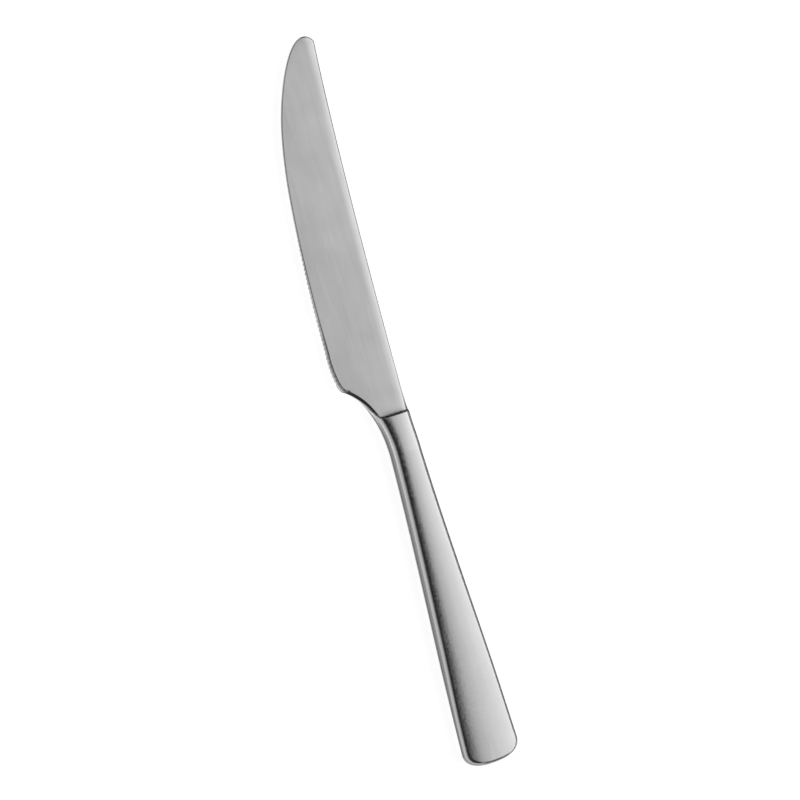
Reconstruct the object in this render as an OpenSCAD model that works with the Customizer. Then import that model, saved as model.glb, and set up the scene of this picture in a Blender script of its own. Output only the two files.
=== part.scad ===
// Hollow-handle table knife: a forged blade with its bolster, set in two brazed half shells.
// The knife lies on its back face, tip towards +Y, cutting edge towards -X, +Z up.
// The origin is under the middle of the whole knife, on the surface it rests on.

/* [Handle] */
// Length of the hollow handle, butt to mouth
handle_l = 102; // [80:1:120]
// Width of the handle at the butt
butt_w = 19.85; // [15:0.05:24]
// Width of the handle at the neck
neck_w = 10.05; // [9:0.05:14]
// Length over which the handle narrows
taper_l = 108; // [80:1:130]
// Thickness of the handle in the grip
grip_t = 7.2; // [6:0.1:9]
// Thickness of the handle at the butt
butt_t = 6; // [5:0.1:8]
// Length over which the butt thins
butt_thin_l = 30; // [15:1:50]
// Length of the rounded end of the butt
butt_round_l = 5.5; // [3:0.1:9]
// Radius of the long edges of the handle at the butt
edge_r = 2; // [1.6:0.1:2.2]
// Radius of the long edges of the handle at the neck
neck_edge_r = 2.4; // [1.8:0.1:2.6]
// Radius of the edge round the end of the butt
butt_edge_r = 1; // [0.8:0.1:1.6]
// Wall of the pressed half shells
shell_wall = 1; // [0.6:0.05:1.2]
// Depth of the flat that is ground on the back face
rest_depth = 0.15; // [0.05:0.01:0.3]

/* [Bolster] */
// Length of the bolster, handle mouth to the step down to the blade
bolster_l = 11.95; // [8:0.05:16]
// Distance from the handle axis to the back of the bolster at the step
bolster_back = 4.7; // [4.3:0.05:6]
// Length over which the back of the bolster fairs into the spine
back_fair_l = 9; // [5:0.5:14]
// Length over which the step falls from the bolster to the blade
step_l = 0.8; // [0.5:0.1:2]

/* [Blade] */
// Length of the blade, step to nose
blade_l = 120.95; // [90:0.05:150]
// Distance from the handle axis to the cutting edge
belly_out = 17.05; // [13:0.05:20]
// Distance from the handle axis to the heel corner
heel_out = 16; // [12:0.1:18]
// Distance from the step to the heel corner
heel_rise = 12.45; // [9:0.05:16]
// Distance from the handle axis to the spine at the step
spine_out = 4.42; // [3.5:0.02:4.8]
// Distance from the handle axis to the spine at the nose
tip_out = 8.5; // [6:0.1:12]
// Thickness of the blade at the spine near the step
spine_t = 2.7; // [2.2:0.1:3.4]
// Thickness of the blade at the spine near the nose
nose_t = 1.6; // [1.4:0.1:2]
// Thickness of the blade just inside the bevel
shoulder_t = 0.8; // [0.6:0.05:1.2]
// Thickness left at the cutting edge
edge_t = 0.2; // [0.15:0.05:0.4]
// Width of the bevel along the smooth part of the cutting edge
bevel_w = 0.35; // [0.2:0.05:0.8]
// Width of the bevel at the heel
heel_bevel_w = 0.5; // [0.3:0.05:1]
// Width of the thin strip that carries the teeth, at the heel
strip_w = 0.8; // [0.4:0.1:1.2]
// Width of the chamfer along the choil, near the heel
chamfer_w = 0.75; // [0.4:0.05:1]
// Width of the chamfer where the choil runs out at the step
root_chamfer_w = 0.35; // [0.3:0.05:0.8]

/* [Teeth] */
// Length of the toothed stretch, from the heel
teeth_l = 66; // [20:1:90]
// Pitch of the teeth
tooth_pitch = 1.5; // [1:0.1:3]
// Depth of the teeth
tooth_depth = 0.25; // [0.05:0.01:0.5]

/* [Tang and joints] */
// Length of the spigot in the handle's mouth
spigot_l = 4; // [2:0.1:8]
// Length of the tang behind the spigot
tang_l = 46; // [25:1:60]
// Width of the tang at its root
tang_w = 5.2; // [3:0.1:6]
// Thickness of the tang at its root
tang_t = 3; // [1.5:0.1:3.4]
// Width and thickness of the tang's end
tang_end = 2; // [1:0.1:2.6]
// Thickness of the braze in the joints
braze_t = 0.2; // [0.1:0.05:0.4]
// Depth of cement behind the tang
cement_back = 6; // [2:0.5:15]
// Clearance round the spigot, the tang and the cement
fit_gap = 0.06; // [0.04:0.01:0.15]

/* [Hidden] */

// Tilt of the crowned face where it meets the rounded long edge, at the neck and at the butt
crown_tilt = 14;
butt_tilt = 12.6;
// Tilt of the side wall where it meets the rounded long edge
wall_tilt = 25;
// Least tilt of the crown, where its middle line runs out at the butt
least_tilt = 0.5;
// How the handle narrows: shares of the butt's extra width on the way from the neck to the butt
flare_share = [1, 0.82, 0.105, 0];
// Power of the rounded end of the butt
butt_power = 2.4;
// Places along the knife, measured from the butt
mouth_y = handle_l;
step_y = mouth_y + bolster_l;
heel_y = step_y + heel_rise;
nose_y = step_y + blade_l;

// Width of the soft roll along the spine, and how far its face drops
roll_w = 3.2;
roll_drop = 0.55;
// Radius of the spine's edge
spine_round = 0.5;
// Slope of the chamfer along the choil
chamfer_slope_share = 0.36;
// Share of the bolster's section that swells the foot of the step, the length over which it
// dies out, and the distance past which none is left
root_share = 0.55;
root_l = 2.6;
root_reach = 21;
// Extra length over which the choil's wall falls from the bolster, and how far in that reaches
wall_run = 9;
turn_w = 1.2;
// Length past the step over which the choil's chamfer widens
chamfer_run = 10;
// Length before the heel over which the choil's chamfer becomes the bevel, and the same length
// past the heel before the first tooth
heel_blend = 1.6;
// Length past the heel over which the bevel turns from flat to round
round_run = 25;
// Length past the step over which the grind comes in
grind_run = 14;

// Front stretch of the cutting edge: shares across, nose to belly, and along, step to nose
nose_share = [[0, 1], [0.235, 1], [0.51, 0.897], [0.65, 0.815]];
belly_share = [[0.65, 0.815], [0.888, 0.677], [0.985, 0.425], [1, 0.203]];
// Place of the very nose, as a share of the spine's distance there
nose_out_share = 0.6;
// Rear stretch of the cutting edge: shares of the belly's distance
rear_share = [1, 1.022, 0.995];
rear_along_share = [0, 0.37, 0.76];
// Heel corner: shares of the heel's distance and of the rise to the heel
corner_share = [0.95, 1, 1.018];
corner_rise_share = [0.937, 1, 1.11];
// Choil: shares across, neck to heel, and along, mouth to heel
choil_across_share = [0, 0.01, 0.278, 0.9];
choil_along_share = [0, 0.407, 0.797, 0.968];
// Spine: shares across, step to nose, and along
spine_across_share = [0, 0.108, 0.373, 1];
spine_along_share = [0, 0.3, 0.713, 0.982];
// Nose on the spine side: shares of the way from the spine corner to the nose
crest_across_share = [0, 0.2, 0.5, 1];
crest_along_share = [0, 0.55, 1, 1];
// Share of a skin's depth by which its edge radius shrinks, where that radius is the butt's
inner_edge_share = 0.8;
// Share of the edge zone in which the columns along the cutting edge lie
edge_column_share = [0, 0.03, 0.12, 0.31, 0.5, 0.75, 1];
// Radius of the tang's edges, as a share of its thickness
tang_edge_share = 0.27;
// Share of the butt's rows that lie on the straight sides
hub_share = 0.25;
// Shares of the step's length at which its rows lie
step_row_share = [0.25, 0.5, 0.75, 1];
// Number of teeth over which the teeth fade out
tooth_fade = 12;
// Share of the nose that the last row reaches, which leaves a narrow end to close
nose_reach = 0.995;
// Share of a row that its fixed columns may take
column_room = 0.8;
// Short step along the knife over which a slant is taken
slant_step = 0.05;

// Share of the width over which the step turns along the choil, and how far it turns
step_turn_share = 0.22;
step_turn = 2;
// Distance over which the rows that follow the turn straighten out
turn_fade = 8;
// Power of the convex grind from spine to edge
grind_power = 1.5;

// Columns of the blade's rows: the zone along the edge, the roll's columns and the middle ones
edge_zone = 2 * (strip_w + heel_bevel_w);
roll_column_share = [1, 0.6, 0.3, 0.13, 0.05, 0];
middle_columns = 4;
column_last = len(edge_column_share) + middle_columns + len(roll_column_share) - 1;
// Counts of rows and curve steps
curve_steps = 24;
bolster_rows = 8;
choil_rows = 16;
belly_rows = 14;
nose_rows = 12;
side_rows = 26;
butt_rows = 24;
cement_rows = 9;
// Counts of steps up the section: side wall, long edge, crown
wall_levels = 2;
edge_levels = 5;
crown_levels = 3;

// A number kept between two others
function between(lo, v, hi) = min(max(v, lo), hi);
// A way from a to b by the share f
function blend(a, b, f) = a + (b - a) * f;
// A smooth ramp from 0 to 1
function ease(f) = (1 - cos(180 * between(0, f, 1))) / 2;
// A point on the cubic curve with the four points p
function cubic(p, f) =
    pow(1 - f, 3) * p[0] + 3 * pow(1 - f, 2) * f * p[1]
    + 3 * (1 - f) * f * f * p[2] + pow(f, 3) * p[3];
// A point on the conic curve with the three points p
function conic(p, f) = (1 - f) * (1 - f) * p[0] + 2 * (1 - f) * f * p[1] + f * f * p[2];
// A quarter round that rises from 0 at d = 0 to 1 at d = w
function quarter(d, w) = sqrt(1 - pow(1 - between(0, d / w, 1), 2));
// Numbers from a to b in n equal steps
function spread(a, b, n) = [for (i = [0:n]) blend(a, b, i / n)];
// Faces turned inside out, and faces cut into triangles
function flipped(faces) = [for (f = faces) [for (i = [len(f) - 1:-1:0]) f[i]]];
function triangles(faces) = [for (f = faces) for (i = [1:len(f) - 2]) [f[0], f[i], f[i + 1]]];
// A curve as a table of place along against distance across
function across_table(curve) = [for (p = curve) [p[1], p[0]]];

// Closed skin through rings of points, the first and the last ring closed flat
module loft(rings) {
    n = len(rings[0]);
    last = len(rings) - 1;
    sides = [for (i = [0:last - 1]) for (j = [0:n - 1])
        let (k = (j + 1) % n) [i * n + j, (i + 1) * n + j, (i + 1) * n + k, i * n + k]];
    ends = [[for (j = [0:n - 1]) j], [for (j = [n - 1:-1:0]) last * n + j]];
    polyhedron([for (r = rings) each r], triangles(concat(sides, ends)), convexity = 6);
}

// Outline and section of the handle

function half_width(y) =
    blend(neck_w, butt_w, cubic(flare_share, between(0, y / taper_l, 1))) / 2;
butt_hub = half_width(0);
function half_thick(y) = blend(butt_t, grip_t, ease((y - butt_hub) / butt_thin_l)) / 2;
// Radius of the long edges at the place y, and of a skin's edge of that radius, set in by d
function edge_radius(y) =
    blend(edge_r, neck_edge_r, ease((y - butt_hub) / (mouth_y - butt_hub)));
function inner_radius(r, d) = r * (1 - inner_edge_share * d / edge_r);
neck_half = half_width(mouth_y);
grip_half = half_thick(mouth_y);
rest_z = grip_t / 2 - rest_depth;

// A quarter of the section is three arcs: side wall, long edge of radius r, crown of that tilt.
// The radii of the other two follow from the half width a and the half thickness b.
function section_radii(a, b, r, tilt) =
    let (wx = 1 - cos(wall_tilt), wz = sin(wall_tilt))
    let (cx = sin(tilt), cz = 1 - cos(tilt))
    let (px = a - r * (cos(wall_tilt) - cx), pz = b - r * (cos(tilt) - wz))
    let (det = wx * cz - cx * wz)
    [(px * cz - pz * cx) / det, (wx * pz - wz * px) / det];

// Point of the section where its surface leans by t from upright, 0 at the side, 90 on top
function section_point(a, b, r, tilt, t) =
    let (radii = section_radii(a, b, r, tilt), wall = radii[0], crown = radii[1])
    let (x1 = crown * sin(tilt), z1 = b - crown * (1 - cos(tilt)))
    t <= wall_tilt ? [a - wall * (1 - cos(t)), wall * sin(t)]
    : t >= 90 - tilt ? [crown * cos(t), b - crown * (1 - sin(t))]
    : [x1 + r * (cos(t) - sin(tilt)), z1 + r * (sin(t) - cos(tilt))];

// Height of the section at the distance x from its middle
function section_height(a, b, r, x) =
    let (radii = section_radii(a, b, r, crown_tilt), wall = radii[0], crown = radii[1])
    let (x1 = crown * sin(crown_tilt), z1 = b - crown * (1 - cos(crown_tilt)))
    let (x2 = a - wall * (1 - cos(wall_tilt)), u = x - x1 + r * sin(crown_tilt))
    x <= x1 ? b - crown + sqrt(crown * crown - x * x)
    : x <= x2 ? z1 - r * cos(crown_tilt) + sqrt(max(0, r * r - u * u))
    : sqrt(max(0, wall * wall - pow(between(0, x - a + wall, wall), 2)));

// Tilt of the crown at the place y
function tilt_at(y) = blend(butt_tilt, crown_tilt, ease(y / mouth_y));
// Leans of the section at which points are taken, from the side to the top
function level_leans(tilt) = concat(
    spread(0, wall_tilt, wall_levels),
    [for (i = [1:edge_levels]) blend(wall_tilt, 90 - tilt, i / edge_levels)],
    [for (i = [1:crown_levels]) blend(90 - tilt, 90, i / crown_levels)]);
level_last = wall_levels + edge_levels + crown_levels;

// Ring of points round the whole section at the place y, from the left side over the top
function section_ring(a, b, r, tilt, y) =
    let (q = [for (t = level_leans(tilt)) section_point(a, b, r, tilt, t)])
    concat([for (i = [0:level_last]) [-q[i][0], y, q[i][1]]],
           [for (i = [level_last - 1:-1:0]) [q[i][0], y, q[i][1]]],
           [for (i = [1:level_last]) [q[i][0], y, -q[i][1]]],
           [for (i = [level_last - 1:-1:1]) [-q[i][0], y, -q[i][1]]]);
// The same ring, set in by the distance d from the handle's outside
function inner_ring(y, d) =
    let (r = inner_radius(edge_radius(y), d))
    section_ring(half_width(y) - d, half_thick(y) - d, r, tilt_at(y), y);

// Half shells: rows run round the outline, from the mouth past the butt and back to the mouth

row_count = 2 * side_rows + butt_rows;
shell_end = mouth_y - braze_t;
function side_y(k) = blend(shell_end, butt_hub, k / side_rows);
// Point of the outline in row k
function outline_point(k) =
    k > row_count / 2 ? let (p = outline_point(row_count - k)) [-p[0], p[1]]
    : k <= side_rows ? [-half_width(side_y(k)), side_y(k)]
    : let (f = (k - side_rows) / (butt_rows / 2), s = 90 * (f - hub_share) / (1 - hub_share))
      f < hub_share ? let (y = blend(butt_hub, butt_round_l, f / hub_share)) [-half_width(y), y]
      : [-half_width(butt_round_l) * pow(cos(s), 2 / butt_power),
         butt_round_l * (1 - pow(sin(s), 2 / butt_power))];
// Point on the middle line that row k leads to
function hub_point(k) =
    let (m = min(k, row_count - k)) [0, m < side_rows ? side_y(m) : butt_hub];
// Points of row k from the seam to the middle line, set in by d and no higher than top.
// The crown runs straight to the butt, so a row that ends there tilts less, and its edge is
// tighter.
function shell_row(k, d, top) =
    let (o = outline_point(k), h = hub_point(k), a = norm(o - h))
    let (broad = half_width(max(o[1], butt_round_l)), side = pow(min(1, abs(o[0]) / broad), 2))
    let (tilt = max(least_tilt, tilt_at(h[1]) * side * broad / a))
    let (r = inner_radius(blend(butt_edge_r, edge_radius(h[1]), side), d))
    [for (t = level_leans(tilt))
        let (s = section_point(a - d, half_thick(h[1]) - d, r, tilt, t))
        let (p = h + (o - h) * (s[0] / a))
        [p[0], p[1], between(braze_t / 2, s[1], top)]];

// One half shell as a closed skin: outside, inside, rim along the seam and face at the mouth
module half_shell(top) {
    m = level_last;
    points = concat([for (k = [0:row_count]) each shell_row(k, 0, top)],
                    [for (k = [0:row_count]) each shell_row(k, shell_wall, top)]);
    // Points on the middle line are shared by the rows that meet there
    function id(side, k, j) =
        let (kk = j < m ? k : min(k, row_count - k, side_rows))
        (side * (row_count + 1) + kk) * (m + 1) + j;
    function skin(side) = [for (k = [0:row_count - 1]) for (j = [0:m - 1])
        let (q = [id(side, k, j), id(side, k + 1, j), id(side, k + 1, j + 1), id(side, k, j + 1)])
        q[2] == q[3] ? [q[0], q[1], q[2]] : q];
    rim = [for (k = [0:row_count - 1]) [id(0, k, 0), id(1, k, 0), id(1, k + 1, 0), id(0, k + 1, 0)]];
    mouth = [for (j = [0:m - 1]) each let (k = row_count)
        [[id(0, 0, j), id(0, 0, j + 1), id(1, 0, j + 1), id(1, 0, j)],
         [id(0, k, j), id(1, k, j), id(1, k, j + 1), id(0, k, j + 1)]]];
    polyhedron(points, triangles(flipped(concat(skin(0), flipped(skin(1)), rim, mouth))),
               convexity = 6);
}

// Outline of the blade: curves for the cutting edge and for the spine

nose_out = tip_out * nose_out_share;
function edge_place(p) = [blend(nose_out, -belly_out, p[0]), blend(step_y, nose_y, p[1])];
nose_curve = [for (p = nose_share) edge_place(p)];
belly_curve = [for (p = belly_share) edge_place(p)];
corner_curve = [for (i = [0:2])
    [-heel_out * corner_share[i], step_y + heel_rise * corner_rise_share[i]]];
rear_curve = [for (i = [0:3])
    i == 3 ? corner_curve[2]
    : [-belly_out * rear_share[i], blend(belly_curve[3][1], corner_curve[2][1], rear_along_share[i])]];
choil_curve = [for (i = [0:3])
    i == 3 ? corner_curve[0]
    : [-blend(neck_half, heel_out, choil_across_share[i]), blend(mouth_y, heel_y, choil_along_share[i])]];
spine_curve = [for (i = [0:3])
    [blend(spine_out, tip_out, spine_across_share[i]), blend(step_y, nose_y, spine_along_share[i])]];
crest_curve = [for (i = [0:3])
    [blend(tip_out, nose_out, crest_across_share[i]),
     blend(spine_curve[3][1], nose_y, crest_along_share[i])]];
edge_table = across_table(concat(
    [for (f = spread(0, 1, curve_steps)) cubic(choil_curve, f)],
    [for (i = [1:curve_steps]) conic(corner_curve, i / curve_steps)],
    [for (i = [1:curve_steps]) cubic(rear_curve, 1 - i / curve_steps)],
    [for (i = [1:curve_steps]) cubic(belly_curve, 1 - i / curve_steps)],
    [for (i = [1:curve_steps]) cubic(nose_curve, 1 - i / curve_steps)]));
spine_table = across_table(concat(
    [for (f = spread(0, 1, curve_steps)) cubic(spine_curve, f)],
    [for (i = [1:curve_steps]) cubic(crest_curve, i / curve_steps)]));

function edge_x(y) = lookup(y, edge_table);
function back_x(y) =
    let (bolster = blend(neck_half, bolster_back, ease((y - mouth_y) / bolster_l)))
    let (fair = pow(1 - between(0, (y - step_y) / back_fair_l, 1), 2))
    blend(lookup(y, spine_table), bolster, fair);
// Distances in from the two outlines, square to them
function edge_inset(x, y) =
    let (slant = edge_x(y + slant_step) - edge_x(y))
    max(0, x - edge_x(y)) * slant_step / norm([slant_step, slant]);
function back_inset(x, y) =
    let (slant = back_x(y) - back_x(y - slant_step))
    max(0, back_x(y) - x) * slant_step / norm([slant_step, slant]);

// How much of the bolster's section a point has: all of it up to the step, which is short on
// the face and long on the choil's wall, then a swell that dies out along the blade
function bolster_share(y, inset) =
    let (past = max(0, y - step_y), run = step_l + wall_run * (1 - quarter(inset, turn_w)))
    past > root_reach ? 0 : blend(root_share * exp(-past / root_l), 1, 1 - ease(past / run));

// Half thickness of the bolster at the place x, y
function bolster_half(x, y) =
    section_height(x < 0 ? -edge_x(y) : back_x(y), grip_half, neck_edge_r, abs(x));
// Half thickness of the blade's face: a convex grind, and a soft roll along the spine
function face_half(x, y) =
    let (from_back = back_x(y) - x, along = (y - step_y) / blade_l)
    let (ground = ease((y - step_y) / grind_run))
    let (grind = ground * pow(between(0, from_back / (back_x(y) - edge_x(y)), 1), grind_power))
    let (roll = roll_drop * pow(1 - between(0, from_back / roll_w, 1), 2))
    blend(blend(spine_t, nose_t, along) / 2, shoulder_t / 2, grind) - roll;
// Half thickness of the blade: chamfer and round along the choil, strip and bevel along the edge
function blade_half(x, y, rim) =
    let (face = face_half(x, y), inset = edge_inset(x, y))
    let (chamfer = blend(root_chamfer_w, chamfer_w, ease((y - step_y) / chamfer_run)))
    let (lip = (face - chamfer_slope_share * chamfer) / (1 + chamfer_slope_share))
    let (round = max(edge_t / 2, lip))
    let (choil = min(face, round * quarter(inset, round) + chamfer_slope_share * inset))
    let (toothed = between(0, (heel_y + teeth_l - y) / teeth_l, 1))
    let (width = blend(bevel_w, heel_bevel_w, toothed))
    let (rise = between(0, (inset - strip_w * toothed) / width, 1))
    let (bevel = blend(rise, quarter(rise, 1), between(0, (y - heel_y) / round_run, 1)))
    let (edge = blend(edge_t / 2 * quarter(rim, edge_t / 2), face, bevel))
    blend(choil, edge, ease(1 + (y - heel_y) / heel_blend)) * quarter(back_inset(x, y), spine_round);

// Rows of the blade, each with its place along and the depth of the tooth cut there
tooth_count = floor(teeth_l / tooth_pitch);
teeth_y = heel_y + heel_blend;
teeth_end = teeth_y + tooth_count * tooth_pitch;
blade_rows = concat(
    [for (y = spread(mouth_y, step_y, bolster_rows)) [y, 0]],
    [for (f = step_row_share) [step_y + step_l * f, 0]],
    [for (i = [1:choil_rows]) [blend(step_y + step_l, teeth_y, i / choil_rows), 0]],
    [for (i = [1:2 * tooth_count])
        let (f = i / (2 * tooth_count), fade = min(1, (1 - f) * tooth_count / tooth_fade))
        [blend(teeth_y, teeth_end, f), i % 2 * tooth_depth * fade]],
    [for (i = [1:belly_rows]) [blend(teeth_end, spine_curve[3][1], i / belly_rows), 0]],
    [for (i = [1:nose_rows])
        [blend(spine_curve[3][1], nose_y, nose_reach * sin(90 * i / nose_rows)), 0]]);

// Shares of the width at which a row w wide has its columns
function column_shares(w) =
    let (room = min(1, w / (edge_zone + roll_w) * column_room))
    let (a = edge_zone * room / w, b = 1 - roll_w * room / w)
    concat([for (s = edge_column_share) s * a],
           [for (i = [1:middle_columns]) blend(a, b, i / (middle_columns + 1))],
           [for (s = roll_column_share) 1 - s * roll_w * room / w]);

// How far a row at the place y bends along the choil, at the share f of the width
function bend(y, f) =
    step_turn * (1 - quarter(f, step_turn_share)) * (1 - ease(abs(y - step_y) / turn_fade));
function blade_ring(row) =
    let (shares = column_shares(back_x(row[0]) - edge_x(row[0])))
    let (top = [for (i = [0:column_last])
        let (y = row[0] + bend(row[0], shares[i]), left = edge_x(y) + row[1])
        let (x = blend(left, back_x(y), shares[i]), share = bolster_share(row[0], edge_inset(x, y)))
        let (blade = share == 1 ? 0 : blade_half(x, y, x - left))
        let (bolster = share == 0 ? 0 : bolster_half(x, y))
        [x, y, i == 0 || i == column_last ? 0 : blend(blade, bolster, share)]])
    ring_from(top);
// A full ring from the points of its upper half
function ring_from(top) =
    concat(top, [for (i = [column_last - 1:-1:1]) [top[i][0], top[i][1], -min(top[i][2], rest_z)]]);
// A ring of the spigot or the tang, a and b its half width and half thickness
function tang_ring(a, b, r, y) =
    ring_from([for (f = column_shares(2 * a)) let (x = blend(-a, a, f))
        [x, y, section_height(a, b, r, abs(x))]]);

// Half width, half thickness and edge radius of the spigot, and the places behind it
spigot_a = neck_half - shell_wall - fit_gap;
spigot_b = grip_half - shell_wall - fit_gap;
spigot_r = inner_radius(neck_edge_r, shell_wall + fit_gap);
tang_y = mouth_y - spigot_l;
tang_tip = tang_y - tang_l;

// The knife is built on its handle axis with the butt at 0, and then put on its origin
left_x = min([for (p = edge_table) p[1]]);
right_x = max(half_width(butt_round_l), tip_out);
module placed() {
    translate([-(left_x + right_x) / 2, -nose_y / 2, rest_z]) children();
}

module blade() {
    color("lightsteelblue") placed() loft(concat(
        [tang_ring(tang_end / 2, tang_end / 2, tang_end * tang_edge_share, tang_tip),
         tang_ring(tang_w / 2, tang_t / 2, tang_t * tang_edge_share, tang_y),
         tang_ring(spigot_a, spigot_b, spigot_r, tang_y),
         tang_ring(spigot_a, spigot_b, spigot_r, mouth_y)],
        [for (row = blade_rows) blade_ring(row)]));
}

module front_shell() {
    color("silver") placed() half_shell(grip_t);
}

module back_shell() {
    color("silver") placed() mirror([0, 0, 1]) half_shell(rest_z);
}

module seam_braze() {
    outer = [for (k = [0:row_count]) outline_point(k)];
    inner = [for (k = [row_count:-1:0])
        let (p = shell_row(k, shell_wall, grip_t)[0]) [p[0], p[1]]];
    color("khaki") placed() linear_extrude(height = braze_t, center = true)
        polygon(concat(outer, inner));
}

module mouth_braze() {
    outer = [for (p = inner_ring(mouth_y, 0)) [p[0], max(p[2], -rest_z)]];
    inner = [for (p = inner_ring(mouth_y, shell_wall)) [p[0], p[2]]];
    color("khaki") placed() translate([0, mouth_y, 0]) rotate([90, 0, 0])
        linear_extrude(height = braze_t) difference() {
            polygon(outer);
            polygon(inner);
        }
}

module tang_cement() {
    front = tang_y - fit_gap;
    back = tang_tip - cement_back;
    // Half width and half thickness of the hole at the place y
    function hole_a(y) = blend(tang_end, tang_w, (y - tang_tip) / tang_l) / 2 + fit_gap;
    function hole_b(y) = blend(tang_end, tang_t, (y - tang_tip) / tang_l) / 2 + fit_gap;
    function hole_ring(y) =
        section_ring(hole_a(y), hole_b(y), hole_b(y) * 2 * tang_edge_share, crown_tilt, y);
    color("dimgray") placed() loft(concat(
        [for (y = spread(back, front, cement_rows)) inner_ring(y, shell_wall + fit_gap)],
        [hole_ring(front), hole_ring(tang_tip - fit_gap)]));
}

blade();
front_shell();
back_shell();
seam_braze();
mouth_braze();
tang_cement();
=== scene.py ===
import math

import bmesh
import bpy
import numpy as np
from mathutils import Matrix, Vector


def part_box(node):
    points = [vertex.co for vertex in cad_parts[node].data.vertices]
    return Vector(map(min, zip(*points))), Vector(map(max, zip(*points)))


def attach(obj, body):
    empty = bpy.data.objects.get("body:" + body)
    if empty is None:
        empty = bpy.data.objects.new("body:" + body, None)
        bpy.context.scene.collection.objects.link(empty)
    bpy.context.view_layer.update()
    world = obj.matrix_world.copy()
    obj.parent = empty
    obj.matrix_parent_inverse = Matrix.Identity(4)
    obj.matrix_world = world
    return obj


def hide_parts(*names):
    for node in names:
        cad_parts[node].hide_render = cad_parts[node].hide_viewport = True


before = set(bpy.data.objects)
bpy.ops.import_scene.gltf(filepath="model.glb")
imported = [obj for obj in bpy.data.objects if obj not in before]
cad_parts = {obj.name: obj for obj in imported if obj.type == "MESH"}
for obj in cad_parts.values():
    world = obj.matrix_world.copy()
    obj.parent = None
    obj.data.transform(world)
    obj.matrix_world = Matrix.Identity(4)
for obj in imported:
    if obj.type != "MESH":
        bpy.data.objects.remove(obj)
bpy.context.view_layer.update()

# A table knife on a pale floor: the blade with its bolster, and the brazed hollow handle.
# Sizes are in millimetres, lengthwise places count from the butt, and x counts from the
# handle's axis. placed() takes such points to the frame, in metres.

MM = 0.001

# Handle
MOUTH_Y = 102.0
BUTT_W, NECK_W, TAPER_L = 19.85, 10.05, 108.0
FLARE_SHARES = (1, 0.82, 0.105, 0)
GRIP_T, BUTT_T, BUTT_THIN_L = 7.2, 6.0, 30.0
BUTT_ROUND_L = 5.5
EDGE_R, NECK_EDGE_R, BUTT_EDGE_R = 2.0, 2.4, 1.0
SHELL_WALL = 1.0
REST_DEPTH = 0.15
REST_Z = GRIP_T / 2 - REST_DEPTH
CROWN_TILT, BUTT_TILT = math.radians(14), math.radians(12.6)
WALL_TILT = math.radians(25)
LEAST_TILT = math.radians(0.5)
BUTT_POWER = 2.4
BRAZE_T = 0.2
INNER_EDGE_SHARE = 0.8

# Bolster and blade. OUT is a distance from the handle's axis, T a thickness, and RUN a length
# over which something changes.
BOLSTER_L, BOLSTER_BACK, BACK_FAIR_L = 11.95, 4.7, 9.0
STEP_Y = MOUTH_Y + BOLSTER_L
STEP_W, WALL_RUN, TURN_W = 0.8, 9.0, 1.2
BLADE_L = 120.95
NOSE_Y = STEP_Y + BLADE_L
BELLY_OUT, HEEL_OUT, HEEL_RISE = 17.05, 16.0, 12.45
HEEL_Y = STEP_Y + HEEL_RISE
SPINE_OUT, TIP_OUT = 4.42, 8.5
SPINE_T, NOSE_T, SHOULDER_T, EDGE_T = 2.7, 1.6, 0.8, 0.2
BEVEL_W, HEEL_BEVEL_W, STRIP_W, ROUNDING_RUN = 0.35, 0.5, 0.8, 25.0
CHAMFER_W, ROOT_CHAMFER_W, CHAMFER_RUN, CHAMFER_SLOPE = 0.75, 0.35, 10.0, 0.36
ROLL_W, ROLL_DROP = 3.2, 0.55
SPINE_ROUND = 0.5
ROOT_SHARE, ROOT_L = 0.55, 2.6
HEEL_BLEND = 1.6
STEP_TURN, STEP_TURN_SHARE, TURN_FADE = 2.0, 0.22, 8.0
GRIND_POWER, GRIND_RUN = 1.5, 14.0

# Teeth, and how many of them die out towards the nose
TEETH_L, TOOTH_PITCH, TOOTH_DEPTH, FADING_TEETH = 66.0, 1.5, 0.25, 12
TOOTH_COUNT = math.floor(TEETH_L / TOOTH_PITCH)
FIRST_TOOTH_Y, TEETH_END_Y = HEEL_Y + HEEL_BLEND, HEEL_Y + TEETH_L

# Spigot and tang, hidden in the handle
SPIGOT_L, TANG_L, TANG_W, TANG_T, TANG_END = 4.0, 46.0, 5.2, 3.0, 2.0
TANG_EDGE_SHARE = 0.27
FIT_GAP = 0.06

# Where the handle's axis, the butt and the seam lie in the frame, in metres
shell_low, shell_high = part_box("front_shell")
blade_low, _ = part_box("blade")
AXIS_X, BUTT_Y = (shell_low.x + shell_high.x) / 2, shell_low.y
SEAM_Z = blade_low.z + REST_Z * MM

# Outline of the blade, as shares of the sizes above
NOSE_OUT_SHARE = 0.6
NOSE_OUT = TIP_OUT * NOSE_OUT_SHARE
NOSE_SHARES = ((0, 1), (0.235, 1), (0.51, 0.897), (0.65, 0.815))
BELLY_SHARES = ((0.65, 0.815), (0.888, 0.677), (0.985, 0.425), (1, 0.203))
REAR_SHARES = ((1, 0), (1.022, 0.37), (0.995, 0.76))
CORNER_SHARES = ((0.95, 0.937), (1, 1), (1.018, 1.11))
CHOIL_SHARES = ((0, 0), (0.01, 0.407), (0.278, 0.797))
SPINE_SHARES = ((0, 0), (0.108, 0.3), (0.373, 0.713), (1, 0.982))
CREST_SHARES = ((0, 0), (0.2, 0.55), (0.5, 1), (1, 1))
CURVE_STEPS = 80
# The share of the nose that the last row reaches, and the step that finds an outline's slant
NOSE_REACH_SHARE = 0.995
SLANT_STEP = 0.05


def blend(a, b, f):
    """The way from a to b by the share f."""
    return a + (b - a) * f


def ease(f):
    """A smooth ramp from 0 to 1: half a cosine wave."""
    return (1 - np.cos(np.pi * np.clip(f, 0, 1))) / 2


def quarter(d, w):
    """A quarter round that rises from 0 at d = 0 to 1 at d = w."""
    return np.sqrt(1 - (1 - np.clip(d / w, 0, 1)) ** 2)


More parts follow.
